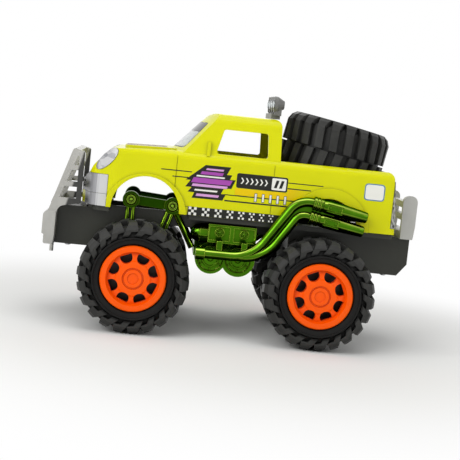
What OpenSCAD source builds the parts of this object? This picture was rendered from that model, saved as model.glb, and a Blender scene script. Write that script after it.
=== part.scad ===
// Toy monster pickup with a friction drive, in millimetres.
// The nose points along -X, +Z is up, the tyres stand on Z = 0 and the
// origin is the middle of the footprint.

/* [Overall] */
// Distance between the two axles
wheelbase = 142; // [138:1:146]
// Width over the tyres
overall_w = 166; // [162:1:174]
// Reach of the bull bar ahead of the nose
front_reach = 27.5; // [26:0.5:32]
// Reach of the rear guard behind the tail
rear_reach = 17.5; // [17:0.5:22]

/* [Wheels] */
// Tyre diameter over the lug tips
tyre_d = 85; // [82:0.5:87]
// Tyre width over the sidewalls
tyre_w = 48; // [45:0.5:49]
// Height of the tread lugs
lug_h = 4; // [2.5:0.5:5]
// Lugs on each half of the tread
lug_count = 22; // [18:1:26]
// Share of its pitch that a lug fills
lug_fill = 0.52; // [0.4:0.02:0.6]
// Turn of a lug over the shoulder, in degrees
lug_sweep = 14; // [8:1:18]
// Thickness of the hollow tyre's wall
tyre_wall = 2.4; // [2:0.1:3]
// Diameter of the rim at its outer flange
rim_d = 50; // [48:0.5:52]
// Number of windows in the rim's face
rim_windows = 8; // [6:1:9]
// Diameter of the steel axle rods
axle_d = 3; // [2.5:0.5:4]

/* [Body shell] */
// Width of the bed's top rails
rail_w = 4.4; // [3.6:0.1:5]
// Room around the spare wheel, at each side of the bed
bed_gap = 0.6; // [0.5:0.1:2]
// Room along the bed, beyond the spare wheel's diameter
bed_room = 2.6; // [2.5:0.1:5]
// Height from the sill to the bed rail
body_h = 48.5; // [46:0.5:51]
// Height from the bed rail to the roof
cab_h = 31.5; // [29:0.5:34]
// Radius of the windscreen's curve from pillar to pillar
screen_r = 134; // [110:1:180]
// How far each cab side leans in up to the roof
tumblehome = 9.5; // [7:0.5:12]
// Distance of the cab's back from the middle of the wheelbase
cab_back = 33.6; // [32:0.2:35]
// Length of the nose ahead of the front axle
nose_l = 47; // [45:0.5:49]
// Thickness of the moulded walls
wall = 2.2; // [1.8:0.1:2.6]
// Radius of the front wheel arches
arch_r = 26.5; // [24:0.5:28]
// How far the arch lips stand off the doors
flare = 2.2; // [1.5:0.1:2.6]
// Width and depth of the moulded door lines
groove = 0.6; // [0.4:0.1:0.8]
// Depth of the pickup bed
bed_depth = 22.5; // [21:0.5:24]

/* [Chassis] */
// Height of the end boxes
box_h = 30.5; // [28:0.5:32]
// Gap between the end boxes and the tyres
spine_gap = 9; // [8:0.5:11]
// Free length behind a front tyre before the exhaust starts
tyre_room = 3.5; // [2:0.5:8]
// Gap between the tyre tops and the deck
deck_gap = 3.5; // [3:0.5:5]
// Thickness of the deck under the body
deck_t = 3.2; // [2.5:0.1:4]

/* [Guards and lamps] */
// Depth of the bull bar's lower beam
guard_t = 9.7; // [8:0.1:11]
// Height of the bull bar's side frames above its beam
guard_h = 50; // [44:1:54]
// Half width over the bull bar's side posts
guard_hw = 39; // [34:1:42]
// Number of lamps on the roof
roof_lamps = 4; // [3:1:4]
// Diameter of a roof lamp
lamp_d = 12.6; // [10:0.2:14]

/* [Running gear] */
// Room from the second eyelet back to the engine
arm_room = 15.8; // [12:0.1:20]
// Depth of an engine box, out from the spine
engine_w = 17.8; // [14:0.1:24]
// Radius of an exhaust tube
pipe_r = 3.7; // [3.2:0.1:4]
// Radius of a silencer
silencer_r = 5.4; // [4.8:0.1:5.4]
// Radius of the eyelets of the front suspension
eye_r = 6.6; // [5.5:0.1:7]
// Tilt of the spare wheel in the bed
spare_tilt = 10.4; // [6:0.2:11]

/* [Fits] */
// Gap between pieces that are fixed to each other
seat = 0.2; // [0.1:0.05:0.3]
// Radial play of a rod in its bearing
run = 0.08; // [0.05:0.01:0.1]
// Radial gap of a rod pressed into a hub
press = 0.02; // [0.01:0.01:0.05]

/* [Hidden] */
$fn = 48;
lap = 0.4;
axle_z = tyre_d / 2;
xf = -wheelbase / 2;
xr = wheelbase / 2;
body_w = tyre_d + 2 * (rail_w + bed_gap);
hw = body_w / 2;
roof_w = body_w - 2 * tumblehome;
spine_hw = overall_w / 2 - tyre_w - spine_gap;
wheel_y = (overall_w - tyre_w) / 2;
deck_z = tyre_d + deck_gap;
sill_z = deck_z + deck_t + seat;
belt_z = sill_z + body_h;
roof_z = belt_z + cab_h;
screen_x = -52.7;
screen_lean = atan2(cab_h - 1.2 + 6.4, cab_h + 8);
base_z = sill_z - 12;
x_nose = xf - nose_l;
bed_end = cab_back + tyre_d + bed_room;
x_tail = bed_end + 6.8;
x_front = x_nose - front_reach;
x_rear = x_tail + rear_reach;
belly_z = deck_z - box_h;
gear_r = belly_z - axle_z - 1.5;
motor_hl = gear_r * 0.78;
beam_z = belly_z + 26;
guard_top = beam_z + guard_h;
nose_diag = (nose_l - xf + hw - 25) * sin(45);
bed_z = belt_z - bed_depth;
spare_z = bed_z + tyre_w / 2 * cos(spare_tilt) + tyre_d / 2 * sin(spare_tilt) + 0.9;
bump_x = xf - 27;
bump_z0 = sill_z + 9.7;
bump_z1 = sill_z + 24.5;
arch_shift = 3.5;
rear_arch_r = min(arch_r - 3, bed_z - wall - sill_z - 0.4);
box_x = x_front + guard_t + seat;
rod_end = tyre_w / 2 - 7.5;
engine_x = -30.2;
engine_ports = [-7.6, 11.7];
eye_x = engine_x - arm_room;
engine_y = spine_hw - 2 + seat + engine_w;
pipe_y = max(hw + flare, engine_y + 7.7) + silencer_r + 0.4;
pipe_x = xf + tyre_d / 2 + tyre_room;
lime = [0.80, 0.83, 0.02];
grey = [0.45, 0.45, 0.44];
silver = [0.78, 0.78, 0.77];
black = [0.09, 0.09, 0.09];
green = [0.25, 0.42, 0.06];
orange = [1.0, 0.36, 0.02];
steel = [0.7, 0.7, 0.72];
clear = [0.85, 0.88, 0.9];

// Outline helpers: an outline is a counterclockwise list of corners.
function unit(v) = v / norm(v);
function left_of(v) = [-v[1], v[0]];
function inset(p, d) = [
    for (i = [0 : len(p) - 1])
        let (n = len(p), m = left_of(unit(p[i] - p[(i + n - 1) % n])))
        let (k = left_of(unit(p[(i + 1) % n] - p[i])))
        p[i] + d * (m + k) / (1 + m * k)
];
function corner(a, b, c, r, n) =
    let (u = unit(a - b), v = unit(c - b), half = acos(u * v) / 2)
    let (o = b + unit(u + v) * r / sin(half), s = b + u * r / tan(half) - o)
    let (turn = (180 - 2 * half) * sign(u[0] * v[1] - u[1] * v[0]) * -1)
    [for (i = [0 : n]) let (w = turn * i / n)
        o + [s[0] * cos(w) - s[1] * sin(w), s[0] * sin(w) + s[1] * cos(w)]];
function rounded(p, r, n = 6) = [
    for (i = [0 : len(p) - 1])
        let (k = len(p), a = p[(i + k - 1) % k], c = p[(i + 1) % k])
        for (q = r[i] > 0 ? corner(a, p[i], c, r[i], n) : [p[i]]) q
];
function polar(r, a) = [r * cos(a), r * sin(a)];
function shrink(r, d) = [for (v = r) v > 0 ? max(v - d, 0.4) : 0];
function ellipse(a, b, n = 32) = [for (i = [0 : n - 1]) [a * cos(360 * i / n), b * sin(360 * i / n)]];

// Outlines of the body: side view, plan and cross-section, then the cab's.
side_pts = [
    [x_tail + 1.2, base_z], [x_tail - 4.7, belt_z], [-44, belt_z], [xf - 26, belt_z - 3],
    [xf - 39, belt_z - 17.5], [xf - 42, bump_z1], [x_nose, bump_z1 - 6], [x_nose, base_z]
];
side_r = [0, 6, 20, 12, 12, 3, 5, 0];
plan_pts = [
    [x_tail + 4, -hw], [x_tail + 4, hw], [xf - 22, hw], [xf - 39, hw - 6],
    [x_nose - 0.5, 14], [x_nose - 0.5, -14], [xf - 39, 6 - hw], [xf - 22, -hw]
];
plan_r = [7, 7, 30, 12, 24, 24, 12, 30];
front_pts = [[hw, base_z], [hw, belt_z], [-hw, belt_z], [-hw, base_z]];
front_r = [0, 6, 6, 0];
cab_side_pts = [
    [cab_back + 0.3, belt_z - 8], [cab_back - 1, roof_z], [screen_x + cab_h - 1.2, roof_z], [screen_x - 6.4, belt_z - 8]
];
cab_side_r = [0, 6, 16, 0];
cab_front_pts = [
    [hw - 1, belt_z - 8], [roof_w / 2, roof_z], [-roof_w / 2, roof_z], [1 - hw, belt_z - 8]
];
cab_front_r = [0, 9, 9, 0];
hood_pts = [[xf - 17, -20], [-38, -29], [-38, 29], [xf - 17, 20]];
window_pts = [
    [-16.8, belt_z + 0.5], [23.6, belt_z + 0.5], [22.4, roof_z - 11.8], [-11.8, roof_z - 11.8]
];
screen_pts = [
    [9.5 - hw, belt_z + 2.5], [hw - 9.5, belt_z + 2.5], [roof_w / 2 - 6, roof_z - 8], [6 - roof_w / 2, roof_z - 8]
];
screen_round = [3, 3, 3, 3];
back_pts = [
    [17.5 - hw, belt_z + 6], [hw - 17.5, belt_z + 6], [roof_w / 2 - 11, roof_z - 9], [11 - roof_w / 2, roof_z - 9]
];

// Extrude an X-Z outline across the body, or a Y-Z outline along it.
module across(w) {
    translate([0, w / 2, 0]) rotate([90, 0, 0]) linear_extrude(w) children();
}
module along(x0, x1) {
    translate([x0, 0, 0]) rotate([90, 0, 90]) linear_extrude(x1 - x0) children();
}
module span(x, y, z) {
    translate([x[0], y[0], z[0]]) cube([x[1] - x[0], y[1] - y[0], z[1] - z[0]]);
}

// The nose's corner facets are seen from 45 degrees to each side.
corner_pts = [
    [2 * x_tail, base_z - 9], [2 * x_tail, belt_z + 9], [3 - nose_diag, belt_z + 9], [-4 - nose_diag, belt_z],
    [-15 - nose_diag, belt_z - 17.5], [-18 - nose_diag, bump_z1], [-26 - nose_diag, bump_z1 - 9],
    [-26 - nose_diag, base_z - 9]
];
corner_r = [0, 0, 0, 8, 10, 4, 4, 0];
module nose_corner(turn, d) {
    rotate(turn) across(8 * body_w) polygon(rounded(inset(corner_pts, d), shrink(corner_r, d)));
}
module lower_body(d) {
    intersection() {
        nose_corner(45, d);
        nose_corner(-45, d);
        across(2 * body_w) polygon(rounded(inset(side_pts, d), shrink(side_r, d)));
        translate([0, 0, base_z - 5])
            linear_extrude(belt_z) polygon(rounded(inset(plan_pts, d), shrink(plan_r, d)));
        along(x_nose - 10, x_tail + 10) polygon(rounded(inset(front_pts, d), shrink(front_r, d)));
    }
}

// The cab's front is a leaning cylinder, so the windscreen bows forward.
module cab(d) {
    intersection() {
        across(2 * body_w) polygon(rounded(inset(cab_side_pts, d), shrink(cab_side_r, d)));
        along(-80, 60) polygon(rounded(inset(cab_front_pts, d), shrink(cab_front_r, d)));
        translate([screen_x - 6.4, 0, belt_z - 8]) rotate([0, screen_lean, 0])
            translate([screen_r, 0, -2 * cab_h]) cylinder(r = screen_r - d, h = 6 * cab_h, $fn = 96);
    }
}

// Wall of the lower body, grown outward by d.
module skin(d) {
    difference() {
        lower_body(-d);
        lower_body(wall);
    }
}

module bumper_zone(d) {
    span([x_nose - 9, bump_x + d], [-hw - 9, hw + 9], [bump_z0 - d, bump_z1 + d]);
}
module corner_zone(s, d) {
    span([x_nose - 9, bump_x + d], s > 0 ? [26 - d, hw + 9] : [-hw - 9, d - 26],
        [sill_z - 1, bump_z0 - seat + d]);
}
module lamp_zone(s, d) {
    intersection() {
        translate([xf - 28.9, 0, belt_z - 11.7]) across(2 * body_w) rotate(-41) polygon(ellipse(4.2 + d, 11 + d));
        span([x_nose - 9, xf], s > 0 ? [hw - 13 - d, 2 * hw] : [-2 * hw, 13 + d - hw], [sill_z, roof_z]);
    }
}
module tail_zone(s, d) {
    span([x_tail - 3.6 - d, x_tail + 9], s > 0 ? [hw - 9 - d, hw + 9] : [-hw - 9, 9 + d - hw],
        [sill_z + 5 - d, belt_z - 7 + d]);
}

module arch_lip(x, r, lip, drop) {
    intersection() {
        translate([x, 0, sill_z]) rotate([90, 0, 0]) difference() {
            translate([0, -drop, 0]) cylinder(r = r + lip, h = body_w + 2 * flare, center = true);
            cylinder(r = r - 1, h = body_w + 20, center = true);
        }
        span([bump_x + 0.3, x_tail - 3], [-2 * hw, 2 * hw], [sill_z, belt_z]);
    }
}
module inside_lips() {
    span([x_nose, x_tail], [0.6 - hw, hw - 0.6], [sill_z - 20, belt_z]);
}

module door_line(x, z) {
    for (s = [-1, 1])
        span(x, s > 0 ? [hw - groove, hw + 1] : [-hw - 1, groove - hw], z);
}

module body_shell() {
    color(lime) difference() {
        union() {
            difference() {
                union() {
                    lower_body(0);
                    cab(0);
                    intersection() {
                        translate([0, 0, belt_z - 6]) linear_extrude(12) polygon(rounded(hood_pts, [8, 4, 4, 8]));
                        across(body_w) polygon([
                            [-40, belt_z + 1.4], [xf - 19, belt_z - 0.4], [xf - 19, belt_z - 6], [-40, belt_z - 6]
                        ]);
                    }
                    for (s = [-1, 1])
                        span([-24, -21.4], s > 0 ? [hw - 4, hw - 0.8] : [0.8 - hw, 4 - hw],
                            [belt_z - 2, belt_z + 9]);
                }
                lower_body(wall);
                cab(wall);
            }
            intersection() {
                lower_body(0.6);
                union() {
                    span([cab_back - wall, x_tail], [-hw, hw], [bed_z - wall, bed_z]);
                    span([cab_back - wall, cab_back], [-hw, hw], [bed_z - 1, belt_z]);
                    for (y = [-21, 18])
                        span([x_nose, x_nose + 12], [y, y + 3], [sill_z, bump_z1 + 6]);
                }
            }
            difference() {
                union() {
                    arch_lip(xf + arch_shift, arch_r, 5.8, 3.6);
                    arch_lip(xr + arch_shift + 1, rear_arch_r, 8, 0);
                }
                inside_lips();
            }
        }
        span([x_nose - 20, x_tail + 20], [-body_w, body_w], [base_z - 20, sill_z]);
        span([cab_back, bed_end], [rail_w - hw, hw - rail_w], [bed_z, belt_z + 5]);
        across(2 * body_w) polygon(rounded(window_pts, [2, 2, 2, 2], 4));
        along(-80, -14) polygon(rounded(screen_pts, screen_round, 4));
        along(20, 50) polygon(rounded(back_pts, [3, 3, 3, 3], 4));
        translate([xf + arch_shift, 0, sill_z]) rotate([90, 0, 0])
            cylinder(r = arch_r, h = 2 * body_w, center = true);
        translate([xr + arch_shift, 0, sill_z]) rotate([90, 0, 0])
            cylinder(r = rear_arch_r, h = 2 * body_w, center = true);
        difference() {
            bumper_zone(seat);
            lower_body(wall + seat);
        }
        for (x = [-46.4, 29.2])
            door_line([x, x + groove], [sill_z + 6, belt_z - 2]);
        door_line([-37, 29.2], [sill_z + 6, sill_z + 6 + groove]);
        for (s = [-1, 1]) {
            corner_zone(s, seat);
            lamp_zone(s, seat);
            tail_zone(s, seat);
        }
    }
}

module windscreen() {
    color(clear) intersection() {
        difference() {
            cab(-0.1);
            cab(1.1);
        }
        along(-80, -10) polygon(rounded(inset(screen_pts, seat), shrink(screen_round, seat), 4));
    }
}

module front_bumper() {
    color(silver) difference() {
        intersection() {
            skin(0.4);
            bumper_zone(0);
        }
        for (z = [bump_z0 + 2.6 : 3.6 : bump_z1 - 3])
            span([x_nose - 9, x_nose + 9], [-24, 24], [z, z + 1.8]);
    }
}

module bumper_corners() {
    color(silver) for (s = [-1, 1])
        intersection() {
            skin(0.4);
            corner_zone(s, 0);
            span([x_nose - 9, 0], [-body_w, body_w], [sill_z, belt_z]);
        }
}

module headlamps() {
    color(silver) for (s = [-1, 1])
        intersection() {
            skin(0.6);
            lamp_zone(s, 0);
        }
}

module tail_lamps() {
    color(silver) for (s = [-1, 1])
        intersection() {
            skin(0.5);
            tail_zone(s, 0);
        }
}

module roof_light_bar() {
    lamp_z = roof_z + lamp_d / 2 + 5.4;
    pitch = (roof_w - 22) / (roof_lamps - 1);
    color(grey) {
        span([24, 31], [11 - roof_w / 2, roof_w / 2 - 11], [roof_z + seat, roof_z + 4.4]);
        for (i = [0 : roof_lamps - 1])
            translate([0, (i - (roof_lamps - 1) / 2) * pitch, 0]) {
                span([26, 31.5], [-3.5, 3.5], [roof_z + 3, lamp_z - 2]);
                translate([25.4, 0, lamp_z]) rotate([0, 90, 0]) rotate_extrude() polygon([
                    [0, 1.4], [lamp_d / 2 - 1, 1.4], [lamp_d / 2 - 1, 0], [lamp_d / 2, 0],
                    [lamp_d / 2, 2.6], [lamp_d / 4, 8], [0, 8]
                ]);
            }
    }
}

module bull_bar() {
    z0 = beam_z;
    up = guard_h;
    post_x = x_front + 24;
    frame_pts = [
        [x_front + 1.5, z0 - 6], [x_front + 9.2, z0 - 6], [x_front + 11, z0 + 4], [post_x, z0 + 7],
        [post_x + 4, z0 + 7], [post_x + 4, guard_top - 2], [x_front + 19, guard_top]
    ];
    beam_pts = [
        [x_front + 1.6, belly_z], [x_front + guard_t, belly_z], [x_front + guard_t, z0],
        [x_front, z0], [x_front, belly_z + 7.5], [x_front + 1.6, belly_z + 7.5]
    ];
    color(grey) {
        across(2 * guard_hw + 2) polygon(rounded(beam_pts, [1.5, 0, 0, 4, 1, 0.5]));
        for (s = [-1, 1])
            translate([0, s * (guard_hw - 1.8), 0]) across(3.6) difference() {
                polygon(rounded(frame_pts, [0, 0, 6, 2, 1.5, 1.5, 1.5]));
                for (t = [[0.22, 0.4], [0.48, 0.66], [0.74, 0.88]])
                    polygon([
                        [x_front + 7.5 + 17.5 * t[0], z0 + up * t[0]], [post_x, z0 + up * t[0]],
                        [post_x, z0 + up * t[1]], [x_front + 7.5 + 17.5 * t[1], z0 + up * t[1]]
                    ]);
            }
        for (t = [0.16, 0.42, 0.68, 0.94])
            translate([x_front + 5.2 + 17.4 * t, 0, z0 + up * t])
                rotate([0, 19, 0]) cube([4.4, 2 * guard_hw - 1, 5], center = true);
        translate([x_front + 5.5, 0, belly_z - 10]) cylinder(r = 1.6, h = 12);
    }
}

module rear_guard() {
    z0 = deck_z + seat;
    plate_pts = [
        [x_rear - 11, z0], [x_rear - 1, z0], [x_rear, z0 + 10], [x_rear, z0 + 34.5],
        [x_rear - 11.5, z0 + 34.5]
    ];
    color(grey) {
        for (s = [-1, 1])
            translate([0, s * (guard_hw - 2), 0]) across(4) polygon(rounded(plate_pts, [0, 1, 6, 5, 5]));
        span([x_rear - 11, x_rear - 1.2], [1 - guard_hw, guard_hw - 1], [z0, z0 + 6]);
        for (z = [14, 24])
            span([x_rear - 8.5, x_rear - 3], [1 - guard_hw, guard_hw - 1], [z0 + z, z0 + z + 5]);
    }
}

module chassis_tray() {
    tail_pts = [
        [xr - 23, belly_z], [x_rear - 8, belly_z], [x_rear - 0.5, belly_z + 9.5],
        [x_rear - 0.5, deck_z], [xr - 23, deck_z]
    ];
    color(black) difference() {
        union() {
            span([box_x, xf + 21], [-spine_hw, spine_hw], [belly_z, deck_z]);
            across(2 * spine_hw) polygon(tail_pts);
            span([xf + 20, xr - 22], [2 - spine_hw, spine_hw - 2], [deck_z - 8.5, deck_z]);
            intersection() {
                translate([0, 0, deck_z - 0.5])
                    linear_extrude(deck_t + 0.5) polygon(rounded(inset(plan_pts, 3), shrink(plan_r, 3)));
                span([x_nose + 4, x_tail - 1], [-hw, hw], [0, roof_z]);
            }
        }
        for (s = [-1, 1])
            span([xf - 24, eye_x + 13], s > 0 ? [spine_hw, hw + 1] : [-hw - 1, -spine_hw], [deck_z - 2, deck_z + 9]);
        span([x_nose + 4, xf + 18], [3 - spine_hw, spine_hw - 3], [belly_z + 2.5, deck_z + 9]);
        span([xr - 20, x_tail - 4], [3 - spine_hw, spine_hw - 3], [belly_z + 2.5, deck_z + 9]);
    }
}

module axle_box(x, hollow) {
    color(black) difference() {
        union() {
            translate([x, 0, axle_z]) rotate([90, 0, 0])
                cylinder(r = gear_r, h = 2 * spine_hw + 3, center = true);
            span([x - gear_r - 3, x + gear_r + 3], [2 - spine_hw, spine_hw - 2], [axle_z + gear_r / 6, belly_z - seat]);
        }
        translate([x, 0, axle_z]) rotate([90, 0, 0])
            cylinder(d = axle_d + 2 * run, h = 3 * spine_hw, center = true);
        if (hollow)
            span([x - motor_hl, x + motor_hl], [5 - spine_hw, spine_hw - 5], [axle_z - gear_r / 2, belly_z + 1]);
    }
}
module front_axle_box() {
    axle_box(xf, false);
}
module rear_axle_box() {
    axle_box(xr, true);
}

module friction_motor() {
    color(steel) difference() {
        span([xr - motor_hl + seat, xr + motor_hl - seat], [5 - spine_hw + seat, spine_hw - 5 - seat],
            [axle_z - gear_r / 2 + seat, belly_z - seat]);
        translate([xr, 0, axle_z]) rotate([90, 0, 0])
            cylinder(d = axle_d + 1, h = 3 * spine_hw, center = true);
    }
}

module engine_bank() {
    z0 = deck_z - 16.8;
    y0 = spine_hw - 2 + seat;
    color(green) difference() {
        union() {
            span([-16.5, 21], [y0, engine_y], [z0, deck_z - 2.5]);
            translate([engine_x + 7.2, (y0 + engine_y) / 2, z0 + 6]) rotate([0, 90, 0]) cylinder(r = 7.6, h = 12);
            translate([engine_x + 7.2, (y0 + engine_y) / 2, z0 + 6]) sphere(r = 7.2);
            for (x = engine_ports)
                translate([x, engine_y - 1.5, z0 + 8.3]) rotate([-90, 0, 0]) cylinder(r = 3.6, h = 2.4);
        }
        for (x = engine_ports)
            difference() {
                span([x - 8.1, x + 8.1], [engine_y - 1.2, engine_y + 5.5], [z0 + 2, z0 + 12.6]);
                translate([x, engine_y - 2.5, z0 + 8.3]) rotate([-90, 0, 0]) cylinder(r = 3.6, h = 4);
            }
    }
}
module engine_left() {
    mirror([0, 1, 0]) engine_bank();
}
module engine_right() {
    engine_bank();
}

module transmission() {
    z1 = deck_z - 8.5 - seat;
    w = 2 * spine_hw - 6;
    // Columns: X of a lobe, its height under the boxes' underside, its radius.
    lobes = [[-12, 1, 12.5], [10, 0.5, 13.5]];
    color(green) difference() {
        union() {
            for (l = lobes)
                translate([l[0], 0, belly_z - l[1]]) rotate([90, 0, 0]) cylinder(r = l[2], h = w, center = true);
            span([-26, 23], [2 - w / 2, w / 2 - 2], [belly_z, z1]);
        }
        span([-23, 20], [5 - w / 2, w / 2 - 5], [belly_z - 6, z1 + 1]);
    }
}

// A tube that runs along +X and turns in the X-Z plane: each step is a
// straight length, then a bend radius and angle.
module pipe_run(r, steps, i = 0) {
    if (i < len(steps)) {
        way = steps[i][0];
        bend = steps[i][1];
        turn = steps[i][2];
        translate([-lap, 0, 0]) rotate([0, 90, 0]) cylinder(r = r, h = way + 2 * lap);
        translate([way, 0, 0]) {
            if (bend > 0)
                translate([0, 0, sign(turn) * bend]) rotate([90 * sign(turn), 0, 0]) rotate([0, 0, -90])
                    rotate_extrude(angle = abs(turn)) translate([bend, 0]) circle(r = r + 0.05);
            translate([bend * sin(abs(turn)), 0, sign(turn) * bend * (1 - cos(turn))])
                rotate([0, -turn, 0]) pipe_run(r, steps, i + 1) children();
        }
    } else {
        children();
    }
}

module silencer() {
    r = silencer_r;
    difference() {
        rotate([0, 90, 0]) rotate_extrude() polygon([
            [0, -0.5], [r, -0.5], [r, 1.2], [r - 0.8, 1.2], [r - 0.8, 2.2], [r, 2.2], [r, 3.9], [r - 0.8, 3.9],
            [r - 0.8, 4.9], [r, 4.9], [r, 6.6], [r - 0.7, 7.4], [r - 0.2, 9.5], [r, 12], [r, 23], [r - 0.9, 39],
            [r - 1.2, 42], [r - 1.8, 42.6], [0, 42.6]
        ]);
        span([11, 21.5], [r - 0.5, r + 1], [-1.9, 1.9]);
        translate([38, 0, 0]) rotate([0, 90, 0]) cylinder(r = r - 2.6, h = 9);
    }
}

// One tube along the engine forks into two on the way up, each with a silencer.
module exhaust() {
    z = deck_z - 24.5;
    rise = 57;
    fall = 67;
    // Columns: start of the climb ahead of the rear axle, climb, upper bend, last straight, tube radius.
    tubes = [[69.3, 31, 17, 1, pipe_r], [60.3, 22.6, 9, 2.8, pipe_r - 0.15]];
    color(green) {
        for (p = tubes)
            translate([pipe_x, pipe_y, z])
                pipe_run(p[4], [[xr - p[0] - pipe_x, 30, rise], [p[1], p[2], -fall], [p[3], 0, 0]]) silencer();
        translate([pipe_x - 0.5, pipe_y, z]) rotate([0, 90, 0]) cylinder(r = pipe_r + 1.2, h = 7);
        for (x = engine_ports)
            span([x - 2.2, x + 2.2], [engine_y + seat, pipe_y], [z - 1, z + 10.5]);
    }
}
module exhaust_left() {
    mirror([0, 1, 0]) exhaust();
}
module exhaust_right() {
    exhaust();
}

// Two eyelets, the bar between them and their twin rods, against the box side.
module suspension() {
    y0 = spine_hw + seat;
    x1 = xf - 8;
    x2 = eye_x;
    z1 = sill_z + 6.3;
    z2 = sill_z + 4.2;
    color(green) difference() {
        union() {
            for (p = [[x1, z1], [x2, z2]])
                translate([p[0], y0, p[1]]) rotate([-90, 0, 0]) cylinder(r = eye_r, h = 6.4);
            across_side(y0, 4) polygon([[x1, z1 - 3.6], [x2, z2 - 3.6], [x2, z2 + 3.6], [x1, z1 + 3.6]]);
            for (d = [-2.2, 2.2]) {
                translate([x1 + d, y0 + 1.8, belly_z + 8]) cylinder(r = 1.5, h = z1 - belly_z - 8);
                translate([x2 + d, y0 + 1.8, z2]) rotate([0, -163, 0]) cylinder(r = 1.5, h = 26);
            }
            translate([x2, y0 + 2.8, z2]) rotate([0, 150, 0]) cylinder(r = 2.6, h = 36);
        }
        for (p = [[x1, z1], [x2, z2]])
            translate([p[0], y0 + 2.6, p[1]]) rotate([-90, 0, 0]) cylinder(r = eye_r - 2, h = 6);
    }
}
module across_side(y, w) {
    translate([0, y + w, 0]) rotate([90, 0, 0]) linear_extrude(w) children();
}
module suspension_left() {
    mirror([0, 1, 0]) suspension();
}
module suspension_right() {
    suspension();
}

// One wheel about its own axis, outer face toward +Z. The tyre is hollow and
// carries a ring of slanted lugs on each half, half a pitch apart.
module tyre() {
    r = tyre_d / 2;
    h = tyre_w / 2;
    b = rim_d / 2 + press;
    t = r - lug_h;
    w = t - b;
    side = h - 0.7;
    half = lug_fill * 180 / lug_count;
    lean = 90 / lug_count;
    u = PI * r / 180;
    color(black) {
        rotate_extrude($fn = 96) polygon([
            [b, h - 4], [b + 0.11 * w, h - 2.6], [b + 0.34 * w, h - 2], [b + 0.37 * w, side], [b + 0.46 * w, side],
            [b + 0.49 * w, side - 1.2], [t - 0.22 * w, side - 2.6], [t, h - 6],
            [t, 6 - h], [t - 0.22 * w, 2.6 - side], [b + 0.49 * w, 1.2 - side],
            [b + 0.46 * w, -side], [b + 0.37 * w, -side], [b + 0.34 * w, 2 - h], [b + 0.11 * w, 2.6 - h], [b, 4 - h],
            [b, 9 - h], [b + 0.22 * w, 9 - h], [b + 0.44 * w, 5 - h], [t - tyre_wall - 0.15 * w, 5.6 - h],
            [t - tyre_wall, 8.6 - h], [t - tyre_wall, h - 8.6], [t - tyre_wall - 0.15 * w, h - 5.6],
            [b + 0.44 * w, h - 5], [b + 0.22 * w, h - 9], [b, h - 9]
        ]);
        for (s = [0, 1])
            mirror([0, 0, s]) rotate(s * 180 / lug_count) intersection() {
                rotate_extrude($fn = 96) polygon([
                    [t - 1.2, 0.6], [r, 0.6], [r, h - 7], [r - 2.2, h - 2.5], [r - 5.5, h], [t - 0.46 * w, h - 0.2],
                    [t - 0.49 * w, side - 2.2], [t - 0.22 * w, side - 3.6], [t - 1.2, h - 7]
                ]);
                for (i = [0 : lug_count - 1])
                    rotate(i * 360 / lug_count) {
                        rotate([90, 0, 90]) translate([0, 0, t - 3]) linear_extrude(lug_h + 4) polygon([
                            [-half * u, 0], [half * u, 0], [(half - lean) * u, h + 1], [-(half + lean) * u, h + 1]
                        ]);
                        translate([0, 0, h - 6.5]) linear_extrude(8) polygon([
                            polar(b + 0.4 * w, lug_sweep - lean - half), polar(r + 1, -lean - half),
                            polar(r + 1, half - lean), polar(b + 0.4 * w, lug_sweep - lean + half)
                        ]);
                    }
            }
    }
}

module rim() {
    r = rim_d / 2;
    f = tyre_w / 2 - 3;
    color(orange) difference() {
        rotate_extrude($fn = 96) polygon([
            [axle_d / 2 + press, 3], [6, 3], [6, f - 7], [r - 2.2, f - 6.5], [r - 2.2, 3], [r, 3],
            [r, f + 0.4], [r - 0.8, f + 1.2], [r * 0.82, f + 1.2], [r * 0.77, f - 2.6], [r * 0.54, f - 1],
            [r * 0.51, f - 0.2], [r * 0.33, f + 0.3], [r * 0.32, f - 0.7], [r * 0.28, f - 0.7], [r * 0.27, f + 0.6],
            [r * 0.17, f + 0.6], [r * 0.16, f - 0.2], [0, f - 0.2], [0, rod_end + seat], [axle_d / 2 + press, rod_end + seat]
        ]);
        for (i = [0 : rim_windows - 1])
            rotate((i + 0.5) * 360 / rim_windows) translate([0, 0, f - 9]) linear_extrude(12)
                polygon(rounded([
                    [r * 0.485, -r * 0.185], [r * 0.74, -r * 0.185], [r * 0.74, r * 0.185], [r * 0.485, r * 0.185]
                ], [r * 0.17, 0.8, 0.8, r * 0.17], 5));
    }
}

module drum() {
    r = rim_d / 2;
    h = tyre_w / 2;
    color(black) rotate_extrude($fn = 96) polygon([
        [axle_d / 2 + press, -h - 4], [5, -h - 4], [6, -1], [r - 2.4, -1], [r - 2.4, 3 - h], [r, 3 - h],
        [r, 3 - seat], [axle_d / 2 + press, 3 - seat]
    ]);
}

module axle(x) {
    color(steel) translate([x, 0, axle_z]) rotate([90, 0, 0])
        cylinder(d = axle_d, h = 2 * (wheel_y + rod_end), center = true);
}

module at_wheel(x, s) {
    translate([x, s * wheel_y, axle_z]) rotate([-90 * s, 0, 0]) children();
}
module at_spare() {
    translate([cab_back + tyre_d / 2 + 2.9, 0, spare_z]) rotate([0, spare_tilt, 0]) children();
}

module spare_carrier() {
    color(black) difference() {
        at_spare() translate([0, 0, -tyre_w]) cylinder(r1 = rim_d * 0.3, r2 = rim_d * 0.2, h = tyre_w + 3 - seat);
        span([0, x_rear], [-hw, hw], [0, bed_z + seat]);
    }
}

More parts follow.
